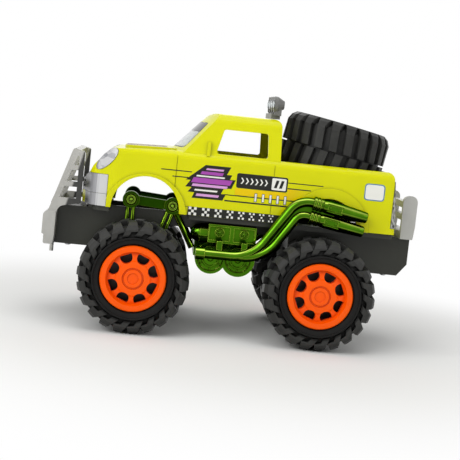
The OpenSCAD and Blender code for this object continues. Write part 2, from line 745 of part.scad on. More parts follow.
body_shell();
windscreen();
front_bumper();
bumper_corners();
headlamps();
tail_lamps();
roof_light_bar();
bull_bar();
rear_guard();
chassis_tray();
front_axle_box();
rear_axle_box();
friction_motor();
engine_left();
engine_right();
transmission();
exhaust_left();
exhaust_right();
suspension_left();
suspension_right();
spare_carrier();
at_spare() tyre();  // spare_tyre
at_spare() rim();  // spare_rim
axle(xf);  // front_axle
at_wheel(xf, -1) tyre();  // front_left_tyre
at_wheel(xf, -1) rim();  // front_left_rim
at_wheel(xf, -1) drum();  // front_left_drum
at_wheel(xf, 1) tyre();  // front_right_tyre
at_wheel(xf, 1) rim();  // front_right_rim
at_wheel(xf, 1) drum();  // front_right_drum
axle(xr);  // rear_axle
at_wheel(xr, -1) tyre();  // rear_left_tyre
at_wheel(xr, -1) rim();  // rear_left_rim
at_wheel(xr, -1) drum();  // rear_left_drum
at_wheel(xr, 1) tyre();  // rear_right_tyre
at_wheel(xr, 1) rim();  // rear_right_rim
at_wheel(xr, 1) drum();  // rear_right_drum
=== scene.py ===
# %% [markdown]
# # A toy monster pickup
# The solids come from CAD, so this file only dresses them. Every object is in
# metres, the nose points along -X and the tyres stand on Z = 0.

# %% Load the solids
import math

import bmesh
import bpy
from mathutils import Matrix, Vector


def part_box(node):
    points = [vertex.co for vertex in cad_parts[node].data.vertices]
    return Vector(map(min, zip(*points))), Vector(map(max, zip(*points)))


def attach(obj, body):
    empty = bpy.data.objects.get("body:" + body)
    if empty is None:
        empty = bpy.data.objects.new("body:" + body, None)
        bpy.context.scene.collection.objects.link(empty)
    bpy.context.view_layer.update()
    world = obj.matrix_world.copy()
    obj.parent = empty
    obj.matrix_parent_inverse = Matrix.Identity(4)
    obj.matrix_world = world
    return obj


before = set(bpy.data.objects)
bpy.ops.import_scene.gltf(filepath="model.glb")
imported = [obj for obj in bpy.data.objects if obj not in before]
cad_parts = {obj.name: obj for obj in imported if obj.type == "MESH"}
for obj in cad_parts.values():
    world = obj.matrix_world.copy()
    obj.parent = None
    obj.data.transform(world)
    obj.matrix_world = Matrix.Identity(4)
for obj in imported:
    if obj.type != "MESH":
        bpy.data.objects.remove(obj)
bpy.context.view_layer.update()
scene = bpy.context.scene
MM = 0.001

# %% [markdown]
# ## Camera
# The photograph was taken from the toy's left, a little above the hood and from
# about a metre away, and the toy is turned six degrees in the picture. A long
# lens keeps both wheels round. The axis is given as a direction, and the roll
# is added about that axis, so the place, the aim and the turn stay separate.

# %% Camera
EYE = Vector((-58.7, -1000.0, 172.0)) * MM
AIM = Vector((0.0614, 1.0, -0.0931))
ROLL = math.radians(6.0)
SENSOR, LENS = 36.0, 96.65
lens = bpy.data.cameras.new("camera")
lens.sensor_width = SENSOR
lens.lens = LENS
camera = bpy.data.objects.new("camera", lens)
scene.collection.objects.link(camera)
aim = AIM.to_track_quat("-Z", "Y").to_matrix().to_4x4()
camera.matrix_world = Matrix.Translation(EYE) @ aim @ Matrix.Rotation(ROLL, 4, "Z")
scene.camera = camera
scene.view_settings.view_transform = "Standard"
print("camera at", [round(v, 3) for v in EYE])

# %% [markdown]
# ## Nodes and colours
# A colour is written as the sRGB hex value that a paint card would show, and
# one function turns it to the linear numbers that the shader works in. One more
# function adds a node, sets its sockets and links it, so that each finish below
# reads as a short list. The last one blends a second colour into a finish that
# is already made.

# %% Colour and node helpers
# Sockets of a Mix node for colours: share, lower colour, upper colour, result.
SHARE, LOWER, UPPER, MIXED = 0, 6, 7, 2


def linear(code):
    """Linear colour of an sRGB hex code."""
    parts = [int(code[i:i + 2], 16) / 255 for i in (1, 3, 5)]
    return [c / 12.92 if c < 0.04045 else ((c + 0.055) / 1.055) ** 2.4 for c in parts] + [1.0]


def add(tree, kind, sockets=None, links=None, **settings):
    """Add a node with its settings, the values of its sockets and its links."""
    made = tree.nodes.new("ShaderNode" + kind)
    for name, value in settings.items():
        setattr(made, name, value)
    for name, value in (sockets or {}).items():
        made.inputs[name].default_value = value
    for name, source in (links or {}).items():
        tree.links.new(source, made.inputs[name])
    return made


def fresh(name):
    """A new material and its empty node tree."""
    made = bpy.data.materials.new(name)
    made.use_nodes = True
    made.node_tree.nodes.clear()
    return made, made.node_tree


def variant(base, name):
    """A copy of a finish under a name of its own."""
    made = base.copy()
    made.name = name
    return made


def retone(finish, sockets, links, own=LOWER, blend="MIX"):
    """Blend a colour into a finish; own is the Mix socket that takes its colour so far."""
    tree = finish.node_tree
    colour = tree.nodes["Principled BSDF"].inputs["Base Color"]
    so_far = {own: colour.links[0].from_socket}
    mixed = add(tree, "Mix", sockets, {**links, **so_far}, data_type="RGBA", blend_type=blend)
    tree.links.new(mixed.outputs[MIXED], colour)


print("helpers ready")

# %% [markdown]
# ## Stage
# A pale round floor catches the shadow. Its rim turns into plain white for the
# camera, for mirrors and for clear panes, the same white as the world, so no
# horizon shows.

# %% Floor and world
# All in metres: the floor's radius, and where its fade to white starts and ends.
FLOOR_RADIUS = 1.6
FADE_START, FADE_END = 0.17, 0.42
ROOM_LIGHT = 0.34


def looked_at(tree):
    """1 for a ray from the camera, a mirror or a pane, and 0 for scattered light."""
    ray = add(tree, "LightPath")
    seen = ray.outputs["Is Camera Ray"]
    for way in ("Is Glossy Ray", "Is Transmission Ray"):
        either = add(tree, "Math", links={0: seen, 1: ray.outputs[way]}, operation="MAXIMUM")
        seen = either.outputs[0]
    return seen


def pale_floor():
    made, tree = fresh("pale_floor")
    place = add(tree, "TexCoord")
    flat = add(tree, "VectorMath", {1: (1, 1, 0)}, {0: place.outputs["Object"]},
               operation="MULTIPLY")
    far = add(tree, "VectorMath", links={0: flat.outputs[0]}, operation="LENGTH")
    fade = add(tree, "MapRange", {"From Min": FADE_START, "From Max": FADE_END},
               {"Value": far.outputs["Value"]}, interpolation_type="SMOOTHSTEP")
    share = add(tree, "Math", links={0: fade.outputs["Result"], 1: looked_at(tree)},
                operation="MULTIPLY")
    paper = add(tree, "BsdfDiffuse", {"Color": linear("#F1F1EF")})
    white = add(tree, "Emission", {"Strength": 1.0})
    mixed = add(tree, "MixShader",
                links={0: share.outputs[0], 1: paper.outputs[0], 2: white.outputs[0]})
    add(tree, "OutputMaterial", links={"Surface": mixed.outputs[0]})
    return made


disc = bmesh.new()
bmesh.ops.create_circle(disc, cap_ends=True, segments=96, radius=FLOOR_RADIUS)
floor_mesh = bpy.data.meshes.new("floor")
disc.to_mesh(floor_mesh)
disc.free()
floor = bpy.data.objects.new("floor", floor_mesh)
floor.data.materials.append(pale_floor())
scene.collection.objects.link(floor)

world = bpy.data.worlds.new("studio")
scene.world = world
world.use_nodes = True
sky = world.node_tree
sky.nodes.clear()
soft = add(sky, "Background", {"Color": linear("#FFFFFF"), "Strength": ROOM_LIGHT})
white = add(sky, "Background", {"Color": linear("#FFFFFF"), "Strength": 1.0})
mixed = add(sky, "MixShader", links={0: looked_at(sky), 1: soft.outputs[0], 2: white.outputs[0]})
add(sky, "OutputWorld", links={"Surface": mixed.outputs[0]})
print("stage ready")

# %% [markdown]
# ## Light
# Soft boxes: a large one above, the key from the camera's left, a weak fill from
# the right and one behind. They are wide, so gloss shows broad patches. A narrow
# upright strip at the nose adds a thin streak on the fenders and the tubes.

# %% Soft boxes
# Name: place, width and height in metres, watts.
BOXES = {
    "top": ((-0.1, -0.1, 1.3), 1.1, 1.1, 5.5),
    "key": ((-0.9, -1.3, 1.0), 0.9, 0.9, 10.5),
    "fill": ((1.1, -0.9, 0.7), 0.9, 0.9, 4.2),
    "back": ((0.2, 1.3, 0.9), 1.0, 1.0, 4.0),
    "strip": ((-0.75, -0.55, 0.4), 0.12, 0.7, 1.6),
}
MIDDLE = Vector((0, 0, 0.09))
for name, (place, wide, tall, power) in BOXES.items():
    lamp = bpy.data.lights.new(name, "AREA")
    lamp.shape = "RECTANGLE"
    lamp.size = wide
    lamp.size_y = tall
    lamp.energy = power
    holder = bpy.data.objects.new(name, lamp)
    aim = (MIDDLE - Vector(place)).to_track_quat("-Z", "Y").to_matrix().to_4x4()
    holder.matrix_world = Matrix.Translation(place) @ aim
    scene.collection.objects.link(holder)
print("lamps:", len(BOXES))

# %% [markdown]
# ## Moulded plastics
# Most of the toy is injection-moulded plastic. What the eye gets from it is an
# even colour with faint cloudy flow marks, a skin that mirrors the room with a
# slight ripple, and moulded edges that are never quite sharp. Those three are
# one recipe here, and each plastic sets its own numbers in millimetres. The
# Bevel node only rounds the shading, so the solids keep their size.

# %% Moulded plastic recipe
PLASTIC_IOR = 1.5
# Roughness at the smoothest and the dullest spots, as shares of the gloss value.
SMOOTHEST, DULLEST = 0.85, 1.2
RIPPLE_DEPTH = 0.1


def noise(tree, size_mm, detail):
    """Noise in Object coordinates with lumps of a size in mm."""
    place = add(tree, "TexCoord")
    made = add(tree, "TexNoise", {"Scale": 1 / (size_mm * MM), "Detail": detail},
               {"Vector": place.outputs["Object"]})
    return made.outputs["Fac"]


def moulded(name, colour, cloud, gloss, ripple_mm, ripple, edge_mm=0.35, cloud_mm=30.0,
            metal=0.0, shine=0.3, edge="#FFFFFF"):
    """A plastic or metal skin; cloud is its second tone, edge the tint of its grazing mirror."""
    made, tree = fresh(name)
    tone = add(tree, "Mix", {LOWER: linear(colour), UPPER: linear(cloud)},
               {SHARE: noise(tree, cloud_mm, 3.0)}, data_type="RGBA")
    skin = noise(tree, ripple_mm, 2.0)
    rough = add(tree, "MapRange", {"To Min": gloss * SMOOTHEST, "To Max": gloss * DULLEST},
                {"Value": skin})
    round_edge = add(tree, "Bevel", {"Radius": edge_mm * MM}, samples=4)
    bump = add(tree, "Bump", {"Strength": ripple, "Distance": ripple_mm * MM * RIPPLE_DEPTH},
               {"Height": skin, "Normal": round_edge.outputs["Normal"]})
    body = add(tree, "BsdfPrincipled",
               {"Metallic": metal, "IOR": PLASTIC_IOR, "Specular IOR Level": shine,
                "Specular Tint": linear(edge)},
               {"Base Color": tone.outputs[MIXED], "Roughness": rough.outputs["Result"],
                "Normal": bump.outputs["Normal"]})
    add(tree, "OutputMaterial", links={"Surface": body.outputs["BSDF"]})
    return made


# Gloss ABS: even colour, clear reflections, tiny sink ripple.
lime = moulded("lime_abs", "#DEDD00", "#D3D500", 0.15, 2.5, 0.12, shine=0.2)
orange = moulded("orange_abs", "#FF5E00", "#FA5600", 0.2, 2.5, 0.12, shine=0.18)
# Polypropylene: satin, a fine spark-eroded grain that breaks up reflections.
grey = moulded("grey_polypropylene", "#B6B6B1", "#A2A29C", 0.3, 1.5, 0.25, cloud_mm=16.0)
pale_grey = moulded("pale_grey_polypropylene", "#BCBBB6", "#A09F9A", 0.34, 1.5, 0.25,
                    cloud_mm=12.0)
dark_grey = moulded("dark_grey_polypropylene", "#747471", "#646462", 0.36, 1.2, 0.4)
black = moulded("black_polypropylene", "#36372F", "#2A2B26", 0.3, 1.5, 0.25)
# Silver lacquer: fine flake under a satin clear coat.
silver = moulded("silver_lacquer", "#E2E2E3", "#D2D2D4", 0.24, 2.4, 0.06, shine=0.6)
# Green vacuum plating: aluminium under green lacquer, a coloured mirror whose rim goes darker.
plated = moulded("green_vacuum_plating", "#FFFFFF", "#848F74", 0.12, 3.0, 0.1, cloud_mm=16.0,
                 metal=1.0, edge="#4A6A1A")
# Soft PVC: dull, with a fine mould grain.
rubber = moulded("black_soft_pvc", "#40403E", "#282827", 0.4, 0.9, 0.4, edge_mm=0.5,
                 cloud_mm=9.0, shine=0.12)
# Drawn steel: bright grey wire.
wire = moulded("drawn_steel_wire", "#B4B5B8", "#A6A7AA", 0.28, 0.8, 0.2, metal=1.0)
print("plastics and metals ready")

# %% [markdown]
# ## Painted light and shade that follow the surface
# Some finishes get light and shade painted into their colour by the shape they
# lie on. Three functions add that to a recipe: painted light and shade by the
# way a face looks, painted shade in corners, from the Ambient Occlusion node, and
# a painted highlight along edges, where the rounded normal of the Bevel node leaves the true
# one.

# %% Painted light by facing, painted shade in corners, painted highlights on edges
# What the two nodes give: in a deep corner and on an open face, and on an edge and beside it.
IN_CORNER, IN_OPEN = 0.15, 0.9
ON_EDGE, OFF_EDGE = 0.78, 0.97


def paint_light_by_facing(base, axis, stops, mirrored=False, blend="MULTIPLY"):
    """Paint light and shade into a finish by its normal along one axis; stops are (normal,
    colour).
    """
    tree = base.node_tree
    surface = add(tree, "NewGeometry")
    axes = add(tree, "SeparateXYZ", links={0: surface.outputs["Normal"]})
    way = axes.outputs[axis]
    if mirrored:
        way = add(tree, "Math", links={0: way}, operation="ABSOLUTE").outputs[0]
    share = add(tree, "MapRange", {"From Min": -1.0}, {"Value": way})
    ramp = add(tree, "ValToRGB", links={"Fac": share.outputs["Result"]})
    points = ramp.color_ramp.elements
    while len(points) < len(stops):
        points.new(0.5)
    for point, (normal, colour) in zip(points, stops):
        point.position = (normal + 1) / 2
        point.color = linear(colour)
    retone(base, {SHARE: 1.0}, {UPPER: ramp.outputs["Color"]}, blend=blend)


def paint_shade_in_corners(base, reach_mm, least):
    """Paint shade into a finish where other walls stand within reach; least is left in a deep
    corner.
    """
    tree = base.node_tree
    near = add(tree, "AmbientOcclusion", {"Distance": reach_mm * MM}, samples=6)
    depth = add(tree, "MapRange",
                {"From Min": IN_CORNER, "From Max": IN_OPEN, "To Min": least},
                {"Value": near.outputs["AO"]})
    retone(base, {SHARE: 1.0}, {UPPER: depth.outputs["Result"]}, blend="MULTIPLY")


def paint_edge_highlight(base, wide_mm, colour, most):
    """Paint a highlight into a finish along its edges; most is the share of the colour on the
    edge itself.
    """
    tree = base.node_tree
    rounded = add(tree, "Bevel", {"Radius": wide_mm * MM}, samples=8)
    surface = add(tree, "NewGeometry")
    same = add(tree, "VectorMath", operation="DOT_PRODUCT",
               links={0: rounded.outputs["Normal"], 1: surface.outputs["Normal"]})
    share = add(tree, "MapRange",
                {"From Min": ON_EDGE, "From Max": OFF_EDGE, "To Min": most, "To Max": 0.0},
                {"Value": same.outputs["Value"]})
    retone(base, {UPPER: linear(colour)}, {SHARE: share.outputs["Result"]})


print("tints ready")

# %% [markdown]
# The plating gets painted reflections by the way its faces look: a painted
# highlight near the upper crest of a tube and a second one below its middle,
# painted shade on the underside, a painted highlight on edges and painted shade
# in tight corners. Tyres, rims and body get painted shade in their corners too.
# The silver gets painted shade on the faces that look forward.

# %% Painted reflections and shade on the plating, painted shade in corners and on the silver
EDGE_HIGHLIGHT_GREEN = "#BEDC4A"
# Painted reflection on the plating: a dark underside, a bright streak below the middle and one
# near the crest.
paint_light_by_facing(plated, "Z", [
    (-1.0, "#1E380A"), (-0.42, "#152A07"), (-0.22, "#86AA34"), (-0.08, "#467A12"),
    (0.1, "#528A14"), (0.42, "#5E9018"), (0.6, "#D4E868"), (0.76, "#5E8E18"), (1.0, "#528814")])
# The same plating on knobs and bolts, whose edges are finer, so their painted edge highlight is
# narrower.
fine_plated = variant(plated, "fine_green_vacuum_plating")
paint_edge_highlight(fine_plated, 0.4, EDGE_HIGHLIGHT_GREEN, 0.6)
# A painted highlight along the edges of the plating.
paint_edge_highlight(plated, 0.9, EDGE_HIGHLIGHT_GREEN, 0.75)
# Painted shade in the corners of the plating.
for finish in (plated, fine_plated):
    paint_shade_in_corners(finish, 7.0, 0.2)
# On the suspension: painted shade on its flat bars and a painted highlight beside the crest of a
# round rod.
plated_with_painted_rod_light = variant(plated, "green_vacuum_plating_with_painted_rod_light")
paint_light_by_facing(plated_with_painted_rod_light, "Y", [(0.0, "#FFFFFF"), (0.96, "#FFFFFF"), (0.995, "#959B84")],
          mirrored=True)
paint_light_by_facing(plated_with_painted_rod_light, "Y",
          [(0.4, "#000000"), (0.62, "#66761C"), (0.93, "#7C8C24"), (0.985, "#000000")],
          mirrored=True, blend="ADD")
# On the bushes: a painted highlight on the faces that look outwards.
highlit_bush_plated = variant(fine_plated, "green_vacuum_plating_with_painted_highlight")
paint_light_by_facing(highlit_bush_plated, "Y", [(0.6, "#000000"), (0.95, "#6C7C2C")], mirrored=True, blend="ADD")
# Painted shade in the corners of the tyres, the rims and the body.
paint_shade_in_corners(rubber, 5.0, 0.12)
paint_shade_in_corners(orange, 4.0, 0.65)
paint_shade_in_corners(lime, 3.0, 0.55)
# Painted shade on the silver's faces that look forward, bright on those that look sideways.
paint_light_by_facing(silver, "Y", [(0.2, "#7C7D80"), (0.86, "#B4B4B6"), (0.985, "#FFFFFF")], mirrored=True)
print("plating and silver ready")

# %% [markdown]
# The lamp faces get painted reflections of moulded facets. Each facet is a cell
# that leans in the side view and is painted a grey of its own, as its reflection.


# %% Lamp faces
def painted_facet_reflections(base, facet_mm, stretch, lean, dark):
    """A copy of a finish with painted facet reflections, longer along X by stretch, that lean by
    degrees.
    """
    made = variant(base, "painted_facet_reflections_" + base.name)
    tree = made.node_tree
    per_metre = 1 / (facet_mm * MM)
    place = add(tree, "TexCoord")
    leaning = add(tree, "Mapping",
                  {"Rotation": (0, math.radians(lean), 0),
                   "Scale": (per_metre / stretch, per_metre, per_metre)},
                  {"Vector": place.outputs["Object"]})
    cells = add(tree, "TexVoronoi", {"Scale": 1.0}, {"Vector": leaning.outputs["Vector"]})
    chance = add(tree, "SeparateColor", links={"Color": cells.outputs["Color"]})
    share = add(tree, "MapRange", {"From Min": 0.1, "From Max": 0.6},
                {"Value": chance.outputs["Red"]})
    retone(made, {LOWER: linear(dark)}, {SHARE: share.outputs["Result"]}, own=UPPER)
    return made


# Painted reflections of facets on the head and tail lamps.
lamp_face = painted_facet_reflections(silver, 2.6, 2.2, -41, "#8E8F93")
tail_face = painted_facet_reflections(grey, 2.2, 0.4, 0, "#3C3D3E")
print("lamp faces ready")

# %% [markdown]
# ## Tyre walls
# The mould of a tyre is polished where it forms the side wall and rough where it
# forms the lugs, so the wall comes out darker. The axle's place is the middle of
# a tyre's box, and the tone follows the distance from that axle in the side view,
# which stays the same when the wheel turns.

# %% Finishes on the tyres
LUG_START = 32.8
WALL_BLUR = 1.2


def polished_wall(base, tyre, least):
    """A copy of a finish that is darker inside the ring of lugs; least is what is left there."""
    made = variant(base, "polished_" + base.name)
    tree = made.node_tree
    low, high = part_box(tyre)
    axle = [(a + b) / 2 for a, b in zip(low, high)]
    place = add(tree, "TexCoord")
    around = add(tree, "VectorMath", {1: axle}, {0: place.outputs["Object"]},
                 operation="SUBTRACT")
    flat = add(tree, "VectorMath", {1: (1, 0, 1)}, {0: around.outputs[0]}, operation="MULTIPLY")
    far = add(tree, "VectorMath", links={0: flat.outputs[0]}, operation="LENGTH")
    share = add(tree, "MapRange",
                {"From Min": LUG_START * MM, "From Max": (LUG_START + WALL_BLUR) * MM,
                 "To Min": least},
                {"Value": far.outputs["Value"]})
    retone(made, {SHARE: 1.0}, {UPPER: share.outputs["Result"]}, blend="MULTIPLY")
    print("axle at", [round(v, 4) for v in axle])
    return made


tyre_finish = {end: polished_wall(rubber, end + "_left_tyre", 0.3) for end in ("front", "rear")}

# %% [markdown]
# ## Bull bar with painted shade, and clear pane
# The bull bar is pale grey with painted shade on its upright posts, so
# its colour changes along a leaning line in the side view. The windscreen is a
# clear polystyrene pane: it mostly shows what is behind it and mirrors the room
# at its curved ends.

# %% Bull bar and windscreen finishes
SHADE_BLUR = 1.5
PANE_WAVE, PANE_DEPTH = 18.0, 0.2


def paint_shade_behind_line(base, dark, foot, top):
    """Paint shade into a copy of a plastic behind the line through two (X, Z) points in mm."""
    made = variant(base, "pale_grey_polypropylene_with_painted_shade")
    tree = made.node_tree
    lean = (top[0] - foot[0]) / (top[1] - foot[1])
    start = foot[0] - lean * foot[1]
    place = add(tree, "TexCoord")
    axes = add(tree, "SeparateXYZ", links={0: place.outputs["Object"]})
    slant = add(tree, "Math", {1: -lean}, {0: axes.outputs["Z"]}, operation="MULTIPLY")
    run = add(tree, "Math", links={0: axes.outputs["X"], 1: slant.outputs[0]}, operation="ADD")
    share = add(tree, "MapRange",
                {"From Min": start * MM, "From Max": (start + SHADE_BLUR) * MM},
                {"Value": run.outputs[0]})
    retone(made, {UPPER: linear(dark)}, {SHARE: share.outputs["Result"]})
    return made


def clear_pane():
    made, tree = fresh("clear_polystyrene")
    bump = add(tree, "Bump", {"Strength": 0.08, "Distance": PANE_DEPTH * MM},
               {"Height": noise(tree, PANE_WAVE, 1.0)})
    body = add(tree, "BsdfPrincipled",
               {"Base Color": linear("#EDF2F2"), "Roughness": 0.04, "IOR": 1.49,
                "Transmission Weight": 1.0},
               {"Normal": bump.outputs["Normal"]})
    add(tree, "OutputMaterial", links={"Surface": body.outputs["BSDF"]})
    return made


# Painted shade on the bull bar's upright posts, behind a leaning line.
guard_grey = paint_shade_behind_line(pale_grey, "#3B3B39", (-131.0, 84.0), (-118.5, 134.0))
clear = clear_pane()
print("guard and pane ready")

# %% [markdown]
# ## Dressing the solids
# Each solid keeps its mesh and only swaps its finish.

# %% Finishes on the solids
FINISH = {
    "body_shell": lime, "windscreen": clear, "front_bumper": silver, "bumper_corners": silver,
    "headlamps": lamp_face, "tail_lamps": tail_face, "roof_light_bar": dark_grey,
    "bull_bar": guard_grey, "rear_guard": grey, "chassis_tray": black, "front_axle_box": black,
    "rear_axle_box": black, "friction_motor": wire, "engine_left": plated,
    "engine_right": plated, "transmission": plated, "exhaust_left": plated,
    "exhaust_right": plated, "suspension_left": plated_with_painted_rod_light, "suspension_right": plated_with_painted_rod_light,
    "spare_carrier": black, "spare_tyre": rubber, "spare_rim": orange, "front_axle": wire,
    "rear_axle": wire,
}
for end in ("front", "rear"):
    for hand in ("_left", "_right"):
        FINISH[end + hand + "_tyre"] = tyre_finish[end]
        FINISH[end + hand + "_rim"] = orange
        FINISH[end + hand + "_drum"] = black
for name, finish in FINISH.items():
    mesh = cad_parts[name].data
    mesh.materials.clear()
    mesh.materials.append(finish)
print("finishes:", len(FINISH), "on", len(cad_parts))

# %% [markdown]
# ## Making new pieces
# A new piece is one bmesh. The first helper extrudes faces by a vector, for
# films and webs. The second closes a piece: normals outward, a mesh with its
# finishes and a body to ride on.


# %% Piece helpers
def thicken(shape, faces, by):
    """Extrude faces by a vector in mm."""
    grown = bmesh.ops.extrude_face_region(shape, geom=faces)["geom"]
    bmesh.ops.translate(shape, vec=Vector(by) * MM,
                        verts=[v for v in grown if isinstance(v, bmesh.types.BMVert)])


def piece(name, shape, finishes, body="truck", smooth=35):
    """Make a piece from a bmesh; edges sharper than smooth, in degrees, stay sharp."""
    bmesh.ops.recalc_face_normals(shape, faces=shape.faces)
    for face in shape.faces:
        face.smooth = True
    mesh = bpy.data.meshes.new(name)
    shape.to_mesh(mesh)
    shape.free()
    mesh.set_sharp_from_angle(angle=math.radians(smooth))
    for finish in finishes:
        mesh.materials.append(finish)
    made = bpy.data.objects.new(name, mesh)
    scene.collection.objects.link(made)
    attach(made, body)
    print(name, len(mesh.polygons), "faces")


print("piece helpers ready")

# %% [markdown]
# ## Printed films
# The side graphics are thin printed films pressed on the flat door and bed
# side. Each is one outline in the side view, in millimetres, drawn once and
# laid on both sides. An outline becomes a face and is extruded by the film's
# thickness, and a film that lies on another starts where that one ends. Only
# plain stripes, bars and checks are used.

# %% Inks and films
# Screen ink on vinyl: even and satin, a little denser in places.
INKS = {
    "black": ("#1A1B16", "#22231D"), "white": ("#F2F2EB", "#E8E8E0"),
    "plum": ("#AC52B1", "#A046A6"), "pink": ("#DFA8DE", "#D49CD4"),
    "blue": ("#4C88BA", "#437CAD"),
}
inks = [moulded(name + "_ink_on_vinyl", thin, dense, 0.3, 0.8, 0.1, cloud_mm=6.0, shine=0.25)
        for name, (thin, dense) in INKS.items()]
ink_at = {name: i for i, name in enumerate(INKS)}
BODY_HALF = 47.5
FILM, FILM_LIFT = 0.07, 0.01
FLAT = 20


def bar(x0, x1, z0, z1, lean=0.0):
    """Four corners of a bar; lean shifts its top edge along X."""
    return [(x0, z0), (x1, z0), (x1 + lean, z1), (x0 + lean, z1)]


def rounded_bar(x0, x1, z0, z1, r, steps=4):
    """A bar with corners of radius r, each drawn in steps."""
    corners = [(x1 - r, z0 + r, -90), (x1 - r, z1 - r, 0),
               (x0 + r, z1 - r, 90), (x0 + r, z0 + r, 180)]
    outline = []
    for x, z, start in corners:
        for i in range(steps + 1):
            a = math.radians(start + 90 * i / steps)
            outline.append((x + r * math.cos(a), z + r * math.sin(a)))
    return outline


def film(shape, corners, ink, by):
    """A face through corners in mm, in an ink, made as thick as a vector in mm."""
    face = shape.faces.new([shape.verts.new(Vector(corner) * MM) for corner in corners])
    face.material_index = ink_at[ink]
    thicken(shape, [face], by)


def lay(shape, outline, ink, layer=1):
    """Lay a film with an (X, Z) outline on both sides of the body."""
    for side in (-1, 1):
        y = side * (BODY_HALF + FILM_LIFT + FILM * (layer - 1))
        film(shape, [(x, y, z) for x, z in outline], ink, (0, side * FILM, 0))


print("inks:", list(INKS))

# %% [markdown]
# The badge on the front of the door is a black wedge with a stepped tail, and
# leaning bars in plum, pink and white on it. The black panel behind it carries
# a row of small chevrons and a white square with two leaning bars.

# %% Door badge and panel
WEDGE = [
    (-32.5, 105.4), (-8.6, 105.4), (-6.4, 110.4), (-10.2, 110.4), (-8.2, 115.0), (-2.6, 115.0),
    (0.2, 122.0), (-4.4, 122.0), (-2.8, 125.6), (-7.0, 125.6), (-4.2, 131.6), (-24.0, 131.6),
    (-38.4, 119.0), (-34.6, 119.0), (-38.2, 113.6), (-33.2, 113.6), (-36.0, 109.8),
    (-30.8, 109.8),
]
# Columns: start, end and foot of a bar, its height, its ink.
BADGE = [
    (-29.6, -12.2, 107.2, 1.9, "pink"), (-31.0, -13.4, 111.2, 1.3, "white"),
    (-33.4, -6.2, 114.6, 2.0, "pink"), (-34.0, -3.8, 117.4, 4.0, "plum"),
    (-30.6, -8.6, 122.2, 1.2, "white"), (-27.4, -10.4, 124.2, 2.4, "plum"),
    (-23.4, -10.0, 127.8, 1.4, "pink"),
]
LEAN = 0.42
# Start, end, foot, top and corner radius.
PANEL = (0.9, 40.8, 116.5, 128.0, 1.6)
SQUARE = (28.4, 39.6, 117.6, 126.8, 0.9)
CHEVRON = [(0, 119.9), (1.1, 119.9), (2.6, 122.3), (1.1, 124.7), (0, 124.7), (1.5, 122.3)]
CHEVRONS, CHEVRON_START, CHEVRON_PITCH = 6, 4.2, 3.7
films = bmesh.new()
lay(films, WEDGE, "black")
for x0, x1, z0, tall, ink in BADGE:
    lay(films, bar(x0, x1, z0, z0 + tall, LEAN * tall), ink, 2)
lay(films, rounded_bar(*PANEL), "black")
for i in range(CHEVRONS):
    start = CHEVRON_START + CHEVRON_PITCH * i
    lay(films, [(start + x, z) for x, z in CHEVRON], "white", 2)
lay(films, rounded_bar(*SQUARE), "white", 2)
for x in (30.2, 34.2):
    lay(films, bar(x, x + 2.2, 119.2, 125.2, 1.6), "black", 3)
print("badge films:", len(films.faces))

# %% [markdown]
# Thin lines run along the side from the badge to the bed, with five short white
# dashes on the lower one. A black band follows the sill with groups of white
# checks. The groups get smaller and closer towards the back, as a printed fade
# does. A plain white tag with a blue rim ends the row on the bed.

# %% Side lines, dashes, sill checks and tag
# Columns: start, end and height of a line, its width.
LINES = [
    (-57.9, -34.2, 125.2, 0.75), (-48.7, -35.6, 120.6, 0.75), (41.0, 68.5, 124.2, 0.7),
    (41.0, 59.3, 119.8, 0.8), (-7.6, 50.0, 110.3, 0.75), (-7.0, 46.0, 105.7, 1.1),
]
DASHES = (16.9, 22.7, 28.4, 34.1, 39.9)
STRIP = (-34.6, 37.2, 91.95, 98.4)
GROUPS, GROUP_START, GROUP_STEP, STEP_LOSS = 8, 0.8, 10.4, 0.5
CHECK_FILL, FILL_LOSS = 0.96, 0.055
TAG_RIM = (101.0, 117.0, 117.0, 130.2, 2.6)
TAG = (101.8, 116.2, 117.8, 129.4, 2.0)
for x0, x1, z, wide in LINES:
    lay(films, bar(x0, x1, z - wide / 2, z + wide / 2), "black")
for x in DASHES:
    lay(films, rounded_bar(x - 1.1, x + 1.1, 106.9, 113.7, 0.4, 2), "black", 2)
    lay(films, bar(x - 0.75, x + 0.75, 107.3, 113.3), "white", 3)
lay(films, bar(*STRIP), "black")
check = (STRIP[3] - STRIP[2]) / 3
group_x = STRIP[0] + GROUP_START
for group in range(GROUPS):
    size = check * (CHECK_FILL - FILL_LOSS * group)
    for column in range(3):
        for row in range(3):
            if (column + row) % 2 == 0:
                x = group_x + (column + 0.5) * size
                z = STRIP[2] + (row + 0.5) * check
                half = size / 2
                lay(films, bar(x - half, x + half, z - half, z + half), "white", 2)
    group_x += GROUP_STEP - STEP_LOSS * group
lay(films, rounded_bar(*TAG_RIM), "blue")
lay(films, rounded_bar(*TAG), "white", 2)
piece("side_films", films, inks, smooth=FLAT)

# %% [markdown]
# A warm yellow tint lies under the panel and fills the room between the thin
# lines behind it. It is one more film, and its colour runs along X until it
# meets the body's own colour.

# %% Fading tint
TINT = [(0.4, 110.9), (60.0, 110.9), (60.0, 119.3), (41.2, 119.3), (41.2, 116.2), (0.4, 116.2)]
TINT_FADE = (42, 60)


def fading_ink():
    made = variant(lime, "fading_ink_on_vinyl")
    tree = made.node_tree
    place = add(tree, "TexCoord")
    axes = add(tree, "SeparateXYZ", links={0: place.outputs["Object"]})
    share = add(tree, "MapRange",
                {"From Min": TINT_FADE[0] * MM, "From Max": TINT_FADE[1] * MM},
                {"Value": axes.outputs["X"]})
    retone(made, {LOWER: linear("#EBC800")}, {SHARE: share.outputs["Result"]}, own=UPPER)
    return made


tint = bmesh.new()
ink_at["fade"] = 0
lay(tint, TINT, "fade")
piece("side_tint", tint, [fading_ink()], smooth=FLAT)

# %% [markdown]
# ## Hood stripes
# The raised hood panel carries two broad stripes with pale borders. They lie on
# its slope, so each outline is drawn in plan and its height follows that slope.

